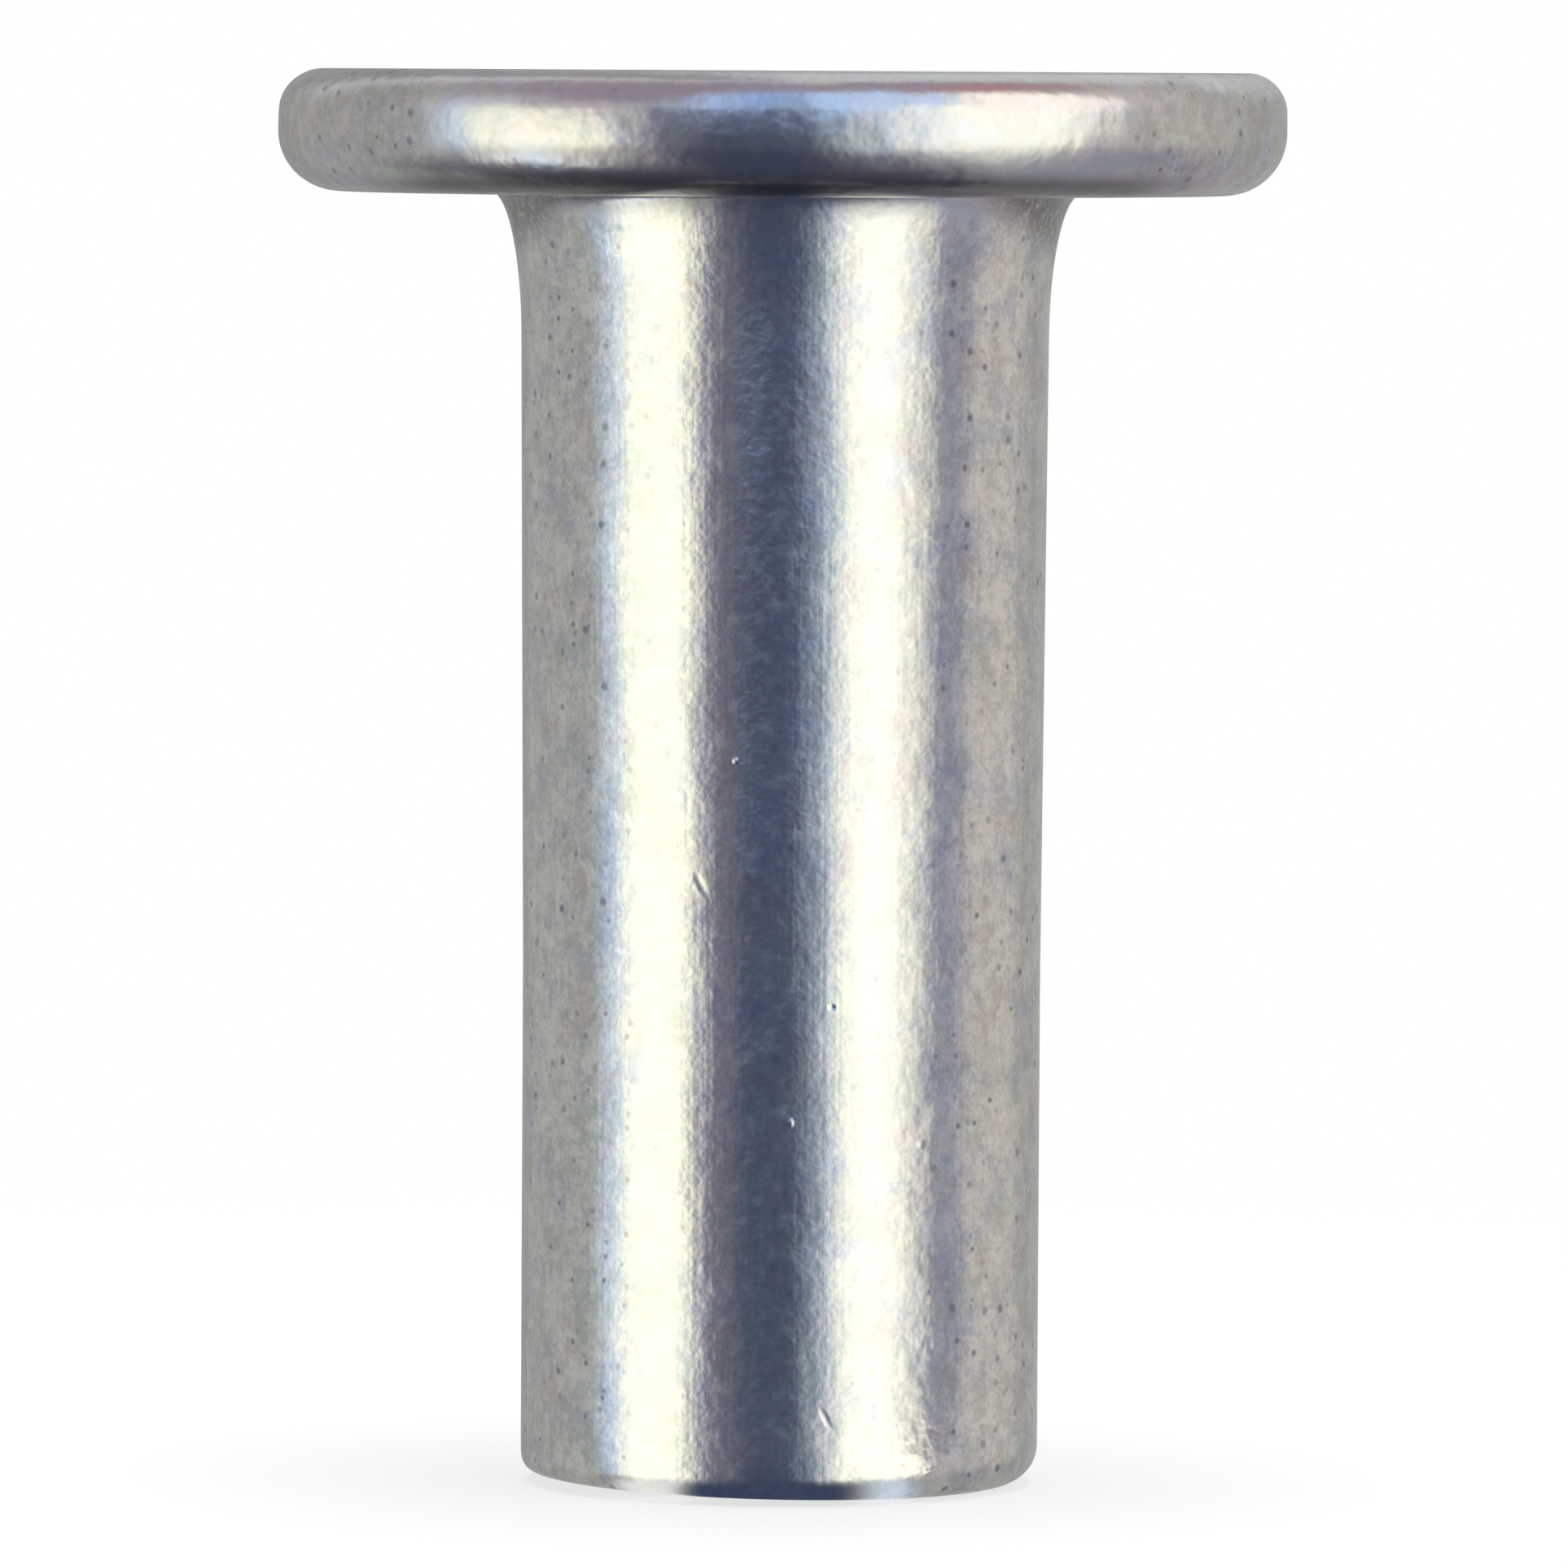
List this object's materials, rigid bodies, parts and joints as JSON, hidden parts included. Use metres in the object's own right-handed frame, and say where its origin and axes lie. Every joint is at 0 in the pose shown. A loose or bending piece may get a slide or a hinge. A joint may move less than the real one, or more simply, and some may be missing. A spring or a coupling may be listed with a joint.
{
  "type": "flat head solid rivet",
  "caption": "Solid aluminium rivet with a wide thin flat head, a slightly flared neck and a plain round shank whose end is upset to clamp sheets together.",
  "frame": {"origin": "centre of the shank's end face, on the rivet's axis", "axes": "+Z along the rivet's axis from the shank's end face to the head; X and Y are any two directions across it, because the rivet is round"},
  "size_m": [0.0116, 0.0116, 0.0164],
  "materials": {
    "aluminium": "bright satin, cold-headed and tumbled, with fine draw lines along the shank"
  },
  "bodies": {
    "root": {"rivet": "aluminium"}
  },
  "joints": []
}
